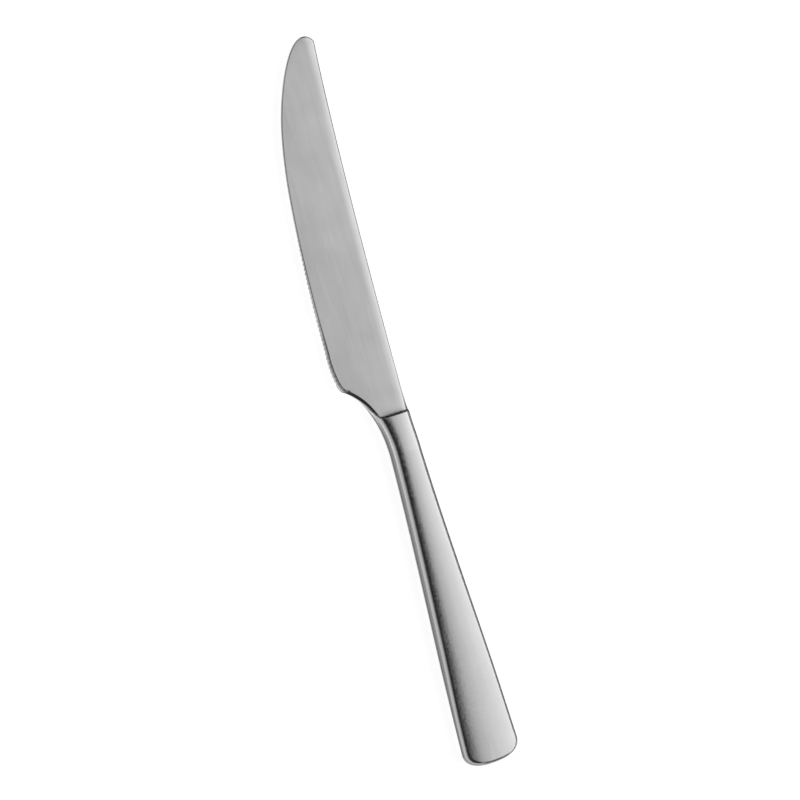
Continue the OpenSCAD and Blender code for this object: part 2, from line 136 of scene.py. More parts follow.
def bezier(points):
    """Points along the Bezier curve of 3 or 4 control points, by its Bernstein weights."""
    points = np.array(points, float)
    n = len(points) - 1
    f = np.linspace(0, 1, CURVE_STEPS)[:, None]
    weights = [math.comb(n, i) * f**i * (1 - f) ** (n - i) for i in range(n + 1)]
    return sum(w * p for w, p in zip(weights, points))


def outline_table(*curves):
    """Curves joined end to end as one table of the place along against the place across."""
    rows = np.concatenate(curves)
    rows = rows[np.argsort(rows[:, 1], kind="stable")]
    return rows[:, 1], rows[:, 0]


def half_width(y):
    """Half the handle's width: from the butt's to the neck's along a Bezier curve."""
    f = np.clip(np.asarray(y, float) / TAPER_L, 0, 1)
    share = sum(math.comb(3, i) * f**i * (1 - f) ** (3 - i) * s for i, s in enumerate(FLARE_SHARES))
    return blend(NECK_W, BUTT_W, share) / 2


BUTT_HUB = float(half_width(0))
NECK_HALF = float(half_width(MOUTH_Y))


def edge_radius(y):
    """Radius of the section's edge: it grows towards the neck as the width shrinks."""
    return blend(EDGE_R, NECK_EDGE_R, ease((y - BUTT_HUB) / (MOUTH_Y - BUTT_HUB)))


def crown_tilt(y):
    """Tilt of the crown where it meets the long edge: a little less towards the butt."""
    return blend(BUTT_TILT, CROWN_TILT, ease(y / MOUTH_Y))


def inner_radius(r, depth):
    """Radius of a skin's edge at that depth under an edge of radius r."""
    return r * (1 - INNER_EDGE_SHARE * depth / EDGE_R)


def half_thick(y):
    """Half the handle's thickness: thinner at the butt, along a cosine ramp."""
    return blend(BUTT_T, GRIP_T, ease((y - BUTT_HUB) / BUTT_THIN_L)) / 2


def edge_place(across, along):
    """A point of the cutting edge's outline from its shares."""
    return blend(NOSE_OUT, -BELLY_OUT, across), blend(STEP_Y, NOSE_Y, along)


belly_points = [edge_place(*p) for p in BELLY_SHARES]
corner_points = [(-HEEL_OUT * a, STEP_Y + HEEL_RISE * b) for a, b in CORNER_SHARES]
rear_points = [(-BELLY_OUT * a, blend(belly_points[3][1], corner_points[2][1], b))
               for a, b in REAR_SHARES] + [corner_points[2]]
choil_points = [(-blend(NECK_HALF, HEEL_OUT, a), blend(MOUTH_Y, HEEL_Y, b))
                for a, b in CHOIL_SHARES] + [corner_points[0]]
spine_points = [(blend(SPINE_OUT, TIP_OUT, a), blend(STEP_Y, NOSE_Y, b)) for a, b in SPINE_SHARES]
crest_points = [(blend(TIP_OUT, NOSE_OUT, a), blend(spine_points[3][1], NOSE_Y, b))
                for a, b in CREST_SHARES]
EDGE_TABLE = outline_table(bezier(choil_points), bezier(corner_points), bezier(rear_points),
                           bezier(belly_points), bezier([edge_place(*p) for p in NOSE_SHARES]))
SPINE_TABLE = outline_table(bezier(spine_points), bezier(crest_points))
TIP_Y = spine_points[3][1]


def root_share(y, inset):
    """How much of the bolster's section a point has: all of it up to the step, which is short
    on the face and long on the choil's wall, then a swell that dies out along the blade."""
    past = np.maximum(y - STEP_Y, 0)
    fall = 1 - ease(past / (STEP_W + WALL_RUN * (1 - quarter(inset, TURN_W))))
    return blend(ROOT_SHARE * np.exp(-past / ROOT_L), 1, fall)


def edge_x(y):
    """The left outline of the bolster, the choil and the cutting edge."""
    return np.interp(y, *EDGE_TABLE)


def back_x(y):
    """The right outline: the bolster's back, then the spine and the nose."""
    bolster = blend(NECK_HALF, BOLSTER_BACK, ease((y - MOUTH_Y) / BOLSTER_L))
    fair = (1 - np.clip((y - STEP_Y) / BACK_FAIR_L, 0, 1)) ** 2
    return blend(np.interp(y, *SPINE_TABLE), bolster, fair)


def slant(outline, y):
    """Cosine of an outline's slant against the knife's length, over a short step along it."""
    shift = outline(y + SLANT_STEP / 2) - outline(y - SLANT_STEP / 2)
    return SLANT_STEP / np.hypot(SLANT_STEP, shift)


def inset_from_edge(x, y):
    """Distance from the left outline, square to it."""
    return np.maximum((x - edge_x(y)) * slant(edge_x, y), 0)


def section_radii(a, b, r, tilt):
    """Radii of the side wall and of the crown, so that both run smoothly into the edge r, the
    crown at that tilt: the solution of two linear equations, one across and one up."""
    wx, wz = 1 - np.cos(WALL_TILT), np.sin(WALL_TILT)
    cx, cz = np.sin(tilt), 1 - np.cos(tilt)
    px = a - r * (np.cos(WALL_TILT) - cx)
    pz = b - r * (np.cos(tilt) - wz)
    det = wx * cz - cx * wz
    return (px * cz - pz * cx) / det, (wx * pz - wz * px) / det


def section_point(a, b, r, tilt, lean):
    """Point of the section whose surface leans by that angle: wall, then edge, then crown."""
    wall, crown = section_radii(a, b, r, tilt)
    x1 = crown * np.sin(tilt)
    z1 = b - crown * (1 - np.cos(tilt))
    on_wall = lean <= WALL_TILT
    on_crown = lean >= np.pi / 2 - tilt
    x = np.where(on_wall, a - wall * (1 - np.cos(lean)),
                 np.where(on_crown, crown * np.cos(lean),
                          x1 + r * (np.cos(lean) - np.sin(tilt))))
    z = np.where(on_wall, wall * np.sin(lean),
                 np.where(on_crown, b - crown * (1 - np.sin(lean)),
                          z1 + r * (np.sin(lean) - np.cos(tilt))))
    return x, z


def section_height(a, b, r, x):
    """Height of the section at the distance x from its middle."""
    wall, crown = section_radii(a, b, r, CROWN_TILT)
    x1 = crown * np.sin(CROWN_TILT)
    z1 = b - crown * (1 - np.cos(CROWN_TILT))
    x2 = a - wall * (1 - np.cos(WALL_TILT))
    u = x - x1 + r * np.sin(CROWN_TILT)
    on_crown = b - crown + np.sqrt(np.maximum(crown**2 - x**2, 0))
    on_edge = z1 - r * np.cos(CROWN_TILT) + np.sqrt(np.maximum(r * r - u * u, 0))
    on_wall = np.sqrt(np.maximum(wall**2 - np.clip(x - a + wall, 0, wall) ** 2, 0))
    return np.where(x <= x1, on_crown, np.where(x <= x2, on_edge, on_wall))


def placed(points):
    """Millimetres from the butt, the handle's axis and the seam, as metres in the frame."""
    return points * MM + np.array([AXIS_X, BUTT_Y, SEAM_Z])


# Points closer than this are welded, in metres, and a crease over this angle is sharp
WELD_GAP = 2e-7
SHARP_ANGLE = math.radians(35)


def new_object(name, points, faces):
    """A mesh object of points in metres and faces, linked to the scene."""
    mesh = bpy.data.meshes.new(name)
    mesh.from_pydata(points.tolist(), [], faces)
    item = bpy.data.objects.new(name, mesh)
    bpy.context.scene.collection.objects.link(item)
    return item


def set_mark(mesh, name, levels):
    """Stores a number at each point under a name, for the materials."""
    layer = mesh.attributes.new(name, "FLOAT", "POINT")
    layer.data.foreach_set("value", levels.astype(np.float32).ravel())


def new_piece(name, points, faces, slot, *nodes, marks=()):
    """A smooth object of points in millimetres and faces, that stands for the given CAD nodes.
    The marks are pairs of a name and a number at each point."""
    piece = new_object(name, placed(points), faces)
    mesh = piece.data
    for mark, levels in marks:
        set_mark(mesh, mark, levels)
    tidy = bmesh.new()
    tidy.from_mesh(mesh)
    bmesh.ops.remove_doubles(tidy, verts=tidy.verts, dist=WELD_GAP)
    bmesh.ops.recalc_face_normals(tidy, faces=tidy.faces)
    tidy.to_mesh(mesh)
    tidy.free()
    mesh.shade_smooth()
    mesh.set_sharp_from_angle(angle=SHARP_ANGLE)
    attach(piece, "root")
    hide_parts(*nodes)
    return piece


def grid_faces(rows, columns, start=0, wrap=False):
    """Quads between the points of a grid, counted row by row from the number start."""
    i = np.arange(rows - 1)[:, None]
    j = np.arange(columns if wrap else columns - 1)[None, :]
    k = (j + 1) % columns
    quads = np.stack([i * columns + j, (i + 1) * columns + j, (i + 1) * columns + k,
                      i * columns + k], axis=-1)
    return (quads.reshape(-1, 4) + start).tolist()


# The blade, with its bolster, spigot and tang

# Columns of points lie closer in a zone beside each outline, and on a narrow row the two zones
# take only a share of its width
SIDE_COLUMNS, MIDDLE_COLUMNS = 30, 22
EDGE_ZONE, SPINE_ZONE, ZONE_SHARE = 3.0, 3.4, 0.8
BOLSTER_ROWS, STEP_ROWS, CHOIL_ROWS, ROWS_PER_TOOTH, BELLY_ROWS, NOSE_ROWS = 24, 16, 60, 6, 70, 40
# Width over which the ground strip's finish, with its painted highlight, starts
GROUND_RAMP = 0.15


def column_shares(width):
    """Shares of each row's width for its columns: squares near both outlines, even between."""
    room = np.minimum(1, width / (EDGE_ZONE + SPINE_ZONE) * ZONE_SHARE)[:, None]
    width = width[:, None]
    squares = np.linspace(0, 1, SIDE_COLUMNS)[None, :] ** 2
    left = squares * EDGE_ZONE * room / width
    right = 1 - squares[:, ::-1] * SPINE_ZONE * room / width
    even = np.linspace(0, 1, MIDDLE_COLUMNS + 2)[None, 1:-1]
    return np.concatenate([left, blend(left[:, -1:], right[:, :1], even), right], axis=1)


def bend(y, f):
    """How far a row bends along the choil: a quarter round across, faded out along."""
    return (STEP_TURN * (1 - quarter(f, STEP_TURN_SHARE))
            * (1 - ease(np.abs(y - STEP_Y) / TURN_FADE)))


def tooth_cut(y):
    """Depth of the scallops in the edge: arches between points, dying out towards the nose."""
    along = (y - FIRST_TOOTH_Y) / TOOTH_PITCH
    fade = np.clip((TOOTH_COUNT - along) / FADING_TEETH, 0, 1) * (along > 0)
    return TOOTH_DEPTH * fade * np.abs(np.sin(np.pi * along))


def bolster_half(x, y):
    """Half thickness of the bolster: the handle's section, fitted to both outlines."""
    half = np.where(x < 0, -edge_x(y), back_x(y))
    return section_height(half, GRIP_T / 2, NECK_EDGE_R, np.abs(x))


def blade_half(x, y, left):
    """Half thickness of the blade: a convex grind from the spine to the bevel, a soft roll and
    a round along the spine, and a chamfer and a round along the choil."""
    back = back_x(y)
    from_back, inset = back - x, inset_from_edge(x, y)
    spine = blend(SPINE_T, NOSE_T, (y - STEP_Y) / BLADE_L) / 2
    grind = (np.clip(from_back / (back - edge_x(y)), 0, 1) ** GRIND_POWER
             * ease((y - STEP_Y) / GRIND_RUN))
    roll = ROLL_DROP * (1 - np.clip(from_back / ROLL_W, 0, 1)) ** 2
    face = blend(spine, SHOULDER_T / 2, grind) - roll
    chamfer = blend(ROOT_CHAMFER_W, CHAMFER_W, ease((y - STEP_Y) / CHAMFER_RUN))
    lip = np.maximum(EDGE_T / 2, (face - CHAMFER_SLOPE * chamfer) / (1 + CHAMFER_SLOPE))
    choil = np.minimum(face, lip * quarter(inset, lip) + CHAMFER_SLOPE * inset)
    toothed = np.clip((TEETH_END_Y - y) / TEETH_L, 0, 1)
    rise = np.clip((inset - STRIP_W * toothed) / blend(BEVEL_W, HEEL_BEVEL_W, toothed), 0, 1)
    rounding = np.clip((y - HEEL_Y) / ROUNDING_RUN, 0, 1)
    bevel = blend(rise, quarter(rise, 1), rounding)
    edge = blend(EDGE_T / 2 * quarter(x - left, EDGE_T / 2), face, bevel)
    half = blend(choil, edge, ease(1 + (y - HEEL_Y) / HEEL_BLEND))
    return half * quarter(from_back * slant(back_x, y), SPINE_ROUND)


def blade_rows():
    """Places of the rows: even stretches from the mouth to the nose, close on the step and in
    time with the teeth, and then a sine that closes up on the nose's end."""
    last_tooth_y = FIRST_TOOTH_Y + TOOTH_COUNT * TOOTH_PITCH
    closing = np.sin(np.linspace(0, np.pi / 2, NOSE_ROWS + 1))[1:]
    return np.concatenate([
        np.linspace(MOUTH_Y, STEP_Y, BOLSTER_ROWS),
        STEP_Y + STEP_W * np.linspace(0, 1, STEP_ROWS + 1)[1:],
        np.linspace(STEP_Y + STEP_W, FIRST_TOOTH_Y, CHOIL_ROWS)[1:],
        np.linspace(FIRST_TOOTH_Y, last_tooth_y, TOOTH_COUNT * ROWS_PER_TOOTH + 1)[1:],
        np.linspace(last_tooth_y, TIP_Y, BELLY_ROWS)[1:],
        TIP_Y + (NOSE_Y - TIP_Y) * NOSE_REACH_SHARE * closing])


def full_ring(x, y, z):
    """Upper halves of rings completed with their lower halves, cut off at the rest flat."""
    low = -np.minimum(z[:, -2:0:-1], REST_Z)
    return np.stack([np.concatenate([x, x[:, -2:0:-1]], axis=1),
                     np.concatenate([y, y[:, -2:0:-1]], axis=1),
                     np.concatenate([z, low], axis=1)], axis=-1)


def tang_ring(a, b, r, y):
    """A ring of the spigot or the tang, of half width a and half thickness b."""
    x = blend(-a, a, column_shares(np.array([2.0 * a])))
    z = section_height(a, b, r, np.abs(x))
    z[:, [0, -1]] = 0
    return full_ring(x, np.full_like(x, y), z)


# The ground strip's mask: it sets the strip's grinding marks and roughness, and a lighter tone that is
# a painted highlight
def ground_finish_and_highlight(points):
    """1 on the thin strip and the bevel along the cutting edge, 0 elsewhere: a short ramp across
    the bevel's inner side, from the heel to the nose."""
    x, y = points[:, 0], points[:, 1]
    toothed = np.clip((TEETH_END_Y - y) / TEETH_L, 0, 1)
    width = STRIP_W * toothed + blend(BEVEL_W, HEEL_BEVEL_W, toothed)
    inner = np.clip((width - inset_from_edge(x, y)) / GROUND_RAMP, 0, 1)
    return inner * np.clip(1 + (y - HEEL_Y) / HEEL_BLEND, 0, 1)


def bolster_part(points):
    """1 on the bolster, which is finished like the handle, and 0 on the blade past the step."""
    return np.clip(1 - (points[:, 1] - STEP_Y) / STEP_W, 0, 1)


def make_blade():
    """Rings across the knife, from the tang's end to the nose, closed flat at both ends. A ring's
    points go from the left outline to the right one by their shares of its width, and their
    height is the blade's, mixed with the bolster's by root_share."""
    rows = blade_rows()[:, None]
    shares = column_shares((back_x(rows) - edge_x(rows))[:, 0])
    y = rows + bend(rows, shares)
    left = edge_x(y) + tooth_cut(rows)
    x = blend(left, back_x(y), shares)
    z = blend(blade_half(x, y, left), bolster_half(x, y), root_share(rows, inset_from_edge(x, y)))
    z[:, [0, -1]] = 0
    spigot = (NECK_HALF - SHELL_WALL - FIT_GAP, GRIP_T / 2 - SHELL_WALL - FIT_GAP,
              inner_radius(NECK_EDGE_R, SHELL_WALL + FIT_GAP))
    spigot_y = MOUTH_Y - SPIGOT_L
    rings = np.concatenate([
        tang_ring(TANG_END / 2, TANG_END / 2, TANG_END * TANG_EDGE_SHARE, spigot_y - TANG_L),
        tang_ring(TANG_W / 2, TANG_T / 2, TANG_T * TANG_EDGE_SHARE, spigot_y),
        tang_ring(*spigot, spigot_y), tang_ring(*spigot, MOUTH_Y), full_ring(x, y, z)])
    count, size = rings.shape[:2]
    faces = grid_faces(count, size, wrap=True)
    faces += [list(range(size)), list(range(count * size - 1, (count - 1) * size - 1, -1))]
    points = rings.reshape(-1, 3)
    # The ground mark also places the strip's painted highlight
    return new_piece("blade_forging", points, faces, "blade_steel", "blade",
                     marks=[("ground", ground_finish_and_highlight(points)), ("bolster", bolster_part(points))])


# The handle: two half shells, and the brazes between them and at the mouth

SIDE_ROWS, BUTT_ROWS = 90, 72
WALL_LEVELS, EDGE_LEVELS, CROWN_LEVELS = 8, 16, 14
# The share of the butt's rows that lies on its sides, before its rounded end
HUB_SHARE = 0.25


def lean_angles(tilt):
    """Leans of the section at its levels, from the seam to the middle line, in each row: even
    steps on the wall, on the edge and on the crown."""
    wall, crown = np.full_like(tilt, WALL_TILT), np.pi / 2 - tilt
    return np.concatenate([np.linspace(np.zeros_like(tilt), wall, WALL_LEVELS)[:-1],
                           np.linspace(wall, crown, EDGE_LEVELS)[:-1],
                           np.linspace(crown, np.full_like(tilt, np.pi / 2), CROWN_LEVELS)]).T


def outline_rows():
    """Points of the handle's outline from the mouth past the butt and back, and the points of
    the middle line that the rows lead to. The butt is a superellipse."""
    side_y = np.linspace(MOUTH_Y - BRAZE_T, BUTT_HUB, SIDE_ROWS + 1)
    f = np.linspace(0, 1, BUTT_ROWS // 2 + 1)[1:]
    straight = f < HUB_SHARE
    s = np.pi / 2 * np.clip((f - HUB_SHARE) / (1 - HUB_SHARE), 0, 1)
    straight_y = blend(BUTT_HUB, BUTT_ROUND_L, f / HUB_SHARE)
    x = np.where(straight, half_width(straight_y),
                 half_width(BUTT_ROUND_L) * np.abs(np.cos(s)) ** (2 / BUTT_POWER))
    y = np.where(straight, straight_y, BUTT_ROUND_L * (1 - np.sin(s) ** (2 / BUTT_POWER)))
    x[-1] = 0
    left = np.stack([-np.concatenate([half_width(side_y), x]), np.concatenate([side_y, y])], -1)
    right = left[-2::-1] * [-1, 1]
    outline = np.concatenate([left, right])
    hub_y = np.concatenate([side_y, np.full(len(y), BUTT_HUB)])
    hub = np.stack([np.zeros(len(outline)), np.concatenate([hub_y, hub_y[-2::-1]])], -1)
    return outline, hub


def shell_skin(depth):
    """Points of a shell's outside, or of its inside at that depth, level by level in each row.
    The crown stays a cylinder along the handle, so a row that runs to the butt tilts less,
    and its edge is tighter."""
    outline, hub = outline_rows()
    reach = np.linalg.norm(outline - hub, axis=1)
    broad = half_width(np.maximum(outline[:, 1], BUTT_ROUND_L))
    side = np.minimum(1, np.abs(outline[:, 0]) / broad)
    tilt = np.maximum(LEAST_TILT, crown_tilt(hub[:, 1]) * side**2 * broad / reach)
    reach = reach[:, None]
    radius = blend(BUTT_EDGE_R, edge_radius(hub[:, 1:]), side[:, None] ** 2)
    across, height = section_point(reach - depth, half_thick(hub[:, 1:]) - depth,
                                   inner_radius(radius, depth), tilt[:, None],
                                   lean_angles(tilt))
    place = hub[:, None] + (outline - hub)[:, None] * (across / reach)[..., None]
    return np.concatenate([place, height[..., None]], axis=-1)


def make_shell(name, node, side, top):
    """A half shell on one side of the seam: outside and inside skins, joined along the seam and
    at the mouth, and cut off flat at the height top."""
    outside, inside = shell_skin(0), shell_skin(SHELL_WALL)
    for skin in (outside, inside):
        skin[..., 2] = side * np.clip(skin[..., 2], BRAZE_T / 2, top)
    rows, levels = outside.shape[:2]
    count = rows * levels
    faces = grid_faces(rows, levels) + grid_faces(rows, levels, count)
    k, j = np.arange(rows - 1), np.arange(levels - 1)
    seam = np.stack([k * levels, (k + 1) * levels, (k + 1) * levels + count, k * levels + count], -1)
    faces += seam.tolist()
    for row in (0, rows - 1):
        first = row * levels + j
        faces += np.stack([first, first + 1, first + 1 + count, first + count], -1).tolist()
    points = np.concatenate([outside, inside]).reshape(-1, 3)
    return new_piece(name, points, faces, "handle_steel", node)


def make_seam():
    """The braze round the handle: a thin layer as wide as the shells' walls."""
    outside, inside = shell_skin(0)[:, 0], shell_skin(SHELL_WALL)[:, 0]
    heights = np.array([-1, 1]) * BRAZE_T / 2
    corners = [np.concatenate([skin[:, :2], np.full((len(skin), 1), z)], axis=1)
               for skin, z in ((outside, heights[0]), (outside, heights[1]),
                               (inside, heights[1]), (inside, heights[0]))]
    points = np.stack(corners, axis=1)
    rows = len(points)
    faces = grid_faces(rows, 4, wrap=True)
    faces += [[0, 1, 2, 3], [rows * 4 - 1, rows * 4 - 2, rows * 4 - 3, rows * 4 - 4]]
    return new_piece("seam_line", points.reshape(-1, 3), faces, "braze", "seam_braze")


def make_mouth():
    """The braze ring at the mouth: the handle's section at the neck, as thick as the shells'
    walls, cut off at the rest flat."""
    lean = lean_angles(np.array([CROWN_TILT]))[0]
    rings = []
    for depth in (0, SHELL_WALL):
        x, z = section_point(NECK_HALF - depth, GRIP_T / 2 - depth,
                             inner_radius(NECK_EDGE_R, depth), CROWN_TILT, lean)
        x = np.concatenate([-x, x[-2::-1], x[1:], -x[-2:0:-1]])
        z = np.concatenate([z, z[-2::-1], -z[1:], -z[-2:0:-1]])
        rings.append((x, np.maximum(z, -REST_Z)))
    (xo, zo), (xi, zi) = rings
    back, front = MOUTH_Y - BRAZE_T, MOUTH_Y
    corners = [np.stack([x, np.full_like(x, y), z], -1)
               for x, y, z in ((xo, back, zo), (xo, front, zo), (xi, front, zi), (xi, back, zi))]
    points = np.stack(corners, axis=1)
    rows = len(points)
    faces = grid_faces(rows, 4, wrap=True)
    last = (rows - 1) * 4
    faces += [[last + j, j, (j + 1) % 4, last + (j + 1) % 4] for j in range(4)]
    return new_piece("mouth_line", points.reshape(-1, 3), faces, "braze", "mouth_braze")


# Shader maths

class Value:
    """A shader socket on which Python's operators add Math nodes."""

    def __init__(self, maker, socket):
        self.maker, self.socket = maker, socket

    def _math(self, operation, *inputs):
        return self.maker.node("ShaderNodeMath", {"operation": operation},
                               dict(enumerate(inputs)))

    def __add__(self, other):
        return self._math("ADD", self, other)

    def __sub__(self, other):
        return self._math("SUBTRACT", self, other)

    def __mul__(self, other):
        return self._math("MULTIPLY", self, other)

    def __truediv__(self, other):
        return self._math("DIVIDE", self, other)

    def __rsub__(self, other):
        return self._math("SUBTRACT", other, self)

    __radd__, __rmul__ = __add__, __mul__

    def angle_from(self, other):
        """The angle of the point (other, self)."""
        return self._math("ARCTAN2", self, other)

    def size(self):
        """The number without its sign."""
        return self._math("ABSOLUTE", self)

    def most(self, other):
        """The larger of the two."""
        return self._math("MAXIMUM", self, other)

    def sibling(self, output):
        """Another output of the same node."""
        return Value(self.maker, self.socket.node.outputs[output])

    def between(self, low, high):
        """A smooth ramp that is 0 at low and 1 at high."""
        return self.maker.node("ShaderNodeMapRange", {"interpolation_type": "SMOOTHSTEP"},
                               {"Value": self, "From Min": low, "From Max": high})

    def stretched(self, across, along):
        """The place counted in steps of that size across the knife and along it, in metres."""
        return self.maker.node("ShaderNodeMapping", None,
                               {"Vector": self, "Scale": (1 / across, 1 / along, 1 / across)})


class Maker:
    """Adds nodes to one node tree."""

    def __init__(self, tree):
        self.tree = tree
        tree.nodes.clear()

    def node(self, kind, settings=None, inputs=None, output=0):
        """Adds a node, sets its settings and inputs, and returns one output as a Value, or the
        node where it has none. A colour ramp's stops are pairs of a place and a grey."""
        node = self.tree.nodes.new(kind)
        for key, value in (settings or {}).items():
            if key == "stops":
                ramp = node.color_ramp.elements
                while len(ramp) < len(value):
                    ramp.new(0.5)  # its place is set below
                for element, (place, level) in zip(ramp, value):
                    element.position = place
                    element.color = (level, level, level, 1)
            else:
                setattr(node, key, value)
        for key, value in (inputs or {}).items():
            if isinstance(value, Value):
                self.tree.links.new(value.socket, node.inputs[key])
            else:
                node.inputs[key].default_value = value
        return Value(self, node.outputs[output]) if len(node.outputs) else node

    def noise(self, vector, scale, detail=2.0, roughness=0.5, distortion=0.0):
        """Soft noise from 0 to 1, with as many waves in a unit of the vector as the scale."""
        return self.node("ShaderNodeTexNoise", {"noise_dimensions": "3D"},
                         {"Vector": vector, "Scale": scale, "Detail": detail,
                          "Roughness": roughness, "Distortion": distortion})

    def shaded(self, colour, tone):
        """The colour times a tone."""
        return self.node("ShaderNodeVectorMath", {"operation": "SCALE"},
                         {0: colour, "Scale": tone})


def new_material(name):
    """An empty material, and the maker that fills it."""
    material = bpy.data.materials.new(name)
    material.use_nodes = True
    return material, Maker(material.node_tree)


# Finishes: colour, roughness, and the strength of the wear, the brushing and the grain
BLADE_FINISH = ((0.49, 0.49, 0.495), 0.2, 1.0, 0.3, 0.26)
HANDLE_FINISH = ((0.535, 0.535, 0.535), 0.19, 0.35, 0.15, 1.9)
BRAZE_FINISH = ((0.55, 0.545, 0.535), 0.19, 0.35, 0.1, 1.9)
BOLSTER_GRAINING = 1.6

# Sizes of the steel's marks, in metres, and across and along the knife where there are two
BRUSH, STREAK, SCRATCH, GRIND_MARK = (0.00013, 0.009), (0.0022, 0.03), (0.0011, 0.03), (0.0012, 0.00011)
BLOTCH, GRAIN, PIT = 0.011, 0.0007, 0.0035
BUMP_HEIGHT = 0.00001

# Radius of a pit, in steps of PIT, and half the width of a scratch, in levels of its noise. FROM
# holds the two levels between which a mark starts to show.
PIT_R, PIT_FROM = 0.035, (0.82, 0.84)
SCRATCH_W, SCRATCH_FROM, SCRATCH_DEPTH = 0.006, (0.06, 0.16), 0.4

# How much each mark lightens or darkens the steel, and how much rougher or smoother it is there
# The ground strip's lift of the tone is a painted highlight that stands in for the strip's glints
BLOTCH_TONE, STREAK_TONE, PIT_TONE, GROUND_HIGHLIGHT_TONE, BOLSTER_TONE = 0.3, 0.22, 0.12, 0.22, 0.13
BLOTCH_ROUGH, STREAK_ROUGH, BRUSH_ROUGH, GRAIN_ROUGH = 0.12, 0.1, 0.04, 0.16
SCRATCH_ROUGH, GROUND_ROUGH, BOLSTER_SMOOTH = 0.06, 0.05, 0.03


def satin_steel(name, colour, roughness, wear, brushing, graining):
    """Satin stainless steel. Its tone and roughness are sums of soft blotches and wavy lengthwise
    streaks, as strong as the wear. A few pits darken it, and the brushing, an even fine grain and
    sparse scratches change the roughness. The bump is the sum of brushing, grain and scratches.
    The blade's ground strip has grinding marks square to the edge, and a lighter tone that is a
    painted highlight for its glints; its bolster is as bright, smooth and grainy as the handle."""
    material, make = new_material(name)
    place = make.node("ShaderNodeTexCoord", output="Object")
    # The ground mark carries the strip's grinding finish and also its painted highlight
    ground = make.node("ShaderNodeAttribute", {"attribute_name": "ground"}, output="Fac")
    bolster = make.node("ShaderNodeAttribute", {"attribute_name": "bolster"}, output="Fac")
    blotches = make.noise(place, 1 / BLOTCH, detail=3.0) - 0.5
    streaks = make.noise(place.stretched(*STREAK), 1.0, detail=3.0, distortion=0.6) - 0.5
    brush = make.noise(place.stretched(*BRUSH), 1.0, detail=3.0, roughness=0.6)
    grain = make.noise(place, 1 / GRAIN, detail=3.0)
    marks = make.noise(place.stretched(*GRIND_MARK), 1.0, detail=2.0)
    ridge = make.noise(place.stretched(*SCRATCH), 1.0, detail=1.0, distortion=0.8)
    scratch = ((1 - (ridge - 0.5).size().between(0.0, SCRATCH_W))
               * blotches.between(*SCRATCH_FROM))
    spot = make.node("ShaderNodeTexVoronoi", {"feature": "F1"},
                     {"Vector": place, "Scale": 1 / PIT})
    chance = make.node("ShaderNodeSeparateColor", None, {"Color": spot.sibling("Color")})
    pit = (1 - spot.between(PIT_R / 2, PIT_R)) * chance.between(*PIT_FROM)
    # Blotches, streaks and pits are the steel's own tone; the ground strip's lift is a painted
    # highlight
    tone = (1 + wear * (BLOTCH_TONE * blotches + STREAK_TONE * streaks - PIT_TONE * pit)
            + GROUND_HIGHLIGHT_TONE * ground + BOLSTER_TONE * bolster)
    grained = graining + BOLSTER_GRAINING * bolster
    rough = (roughness + wear * (BLOTCH_ROUGH * blotches + STREAK_ROUGH * streaks)
             + BRUSH_ROUGH * (brush - 0.5) + GRAIN_ROUGH * grained * (grain - 0.5)
             + SCRATCH_ROUGH * scratch + GROUND_ROUGH * ground - BOLSTER_SMOOTH * bolster)
    height = brushing * brush + grained * grain - SCRATCH_DEPTH * scratch + ground * marks
    bump = make.node("ShaderNodeBump", None,
                     {"Strength": 1.0, "Distance": BUMP_HEIGHT, "Height": height})
    steel = make.node("ShaderNodeBsdfPrincipled", None,
                      {"Base Color": make.shaded(colour, tone), "Metallic": 1.0,
                       "Roughness": rough, "Normal": bump})
    make.node("ShaderNodeOutputMaterial", None, {"Surface": steel})
    return material


# Cement: grain size and relief in metres, roughness, and greys by the level of the grain
CEMENT_GRAIN, CEMENT_RELIEF, CEMENT_BUMP, CEMENT_ROUGH = 0.00025, 0.0001, 0.4, 0.85
CEMENT_GREYS = ((0.35, 0.05), (0.7, 0.16))


def cement():
    """Dark cast cement: a fine noise gives its greys and its sandy bump."""
    material, make = new_material("tang_cement")
    place = make.node("ShaderNodeTexCoord", output="Object")
    grain = make.noise(place, 1 / CEMENT_GRAIN, detail=4.0)
    tone = make.node("ShaderNodeValToRGB", {"stops": CEMENT_GREYS}, {"Fac": grain})
    bump = make.node("ShaderNodeBump", None,
                     {"Strength": CEMENT_BUMP, "Distance": CEMENT_RELIEF, "Height": grain})
    body = make.node("ShaderNodeBsdfPrincipled", None,
                     {"Base Color": tone, "Roughness": CEMENT_ROUGH, "Normal": bump})
    make.node("ShaderNodeOutputMaterial", None, {"Surface": body})
    return material


# Camera at the photograph's angle: its lean, tilt and roll in degrees, its lens and sensor, and
# the width that it sees at the aim
VIEW_LEAN, VIEW_TILT, VIEW_ROLL = 24.0, 4.0, 15.95
LENS, SENSOR = 150.0, 36.0
VIEW_SPAN = 250.1
AIM = (3.15, 117.9, 0.0)
# How far it sees, in metres
CLIP_END = 30


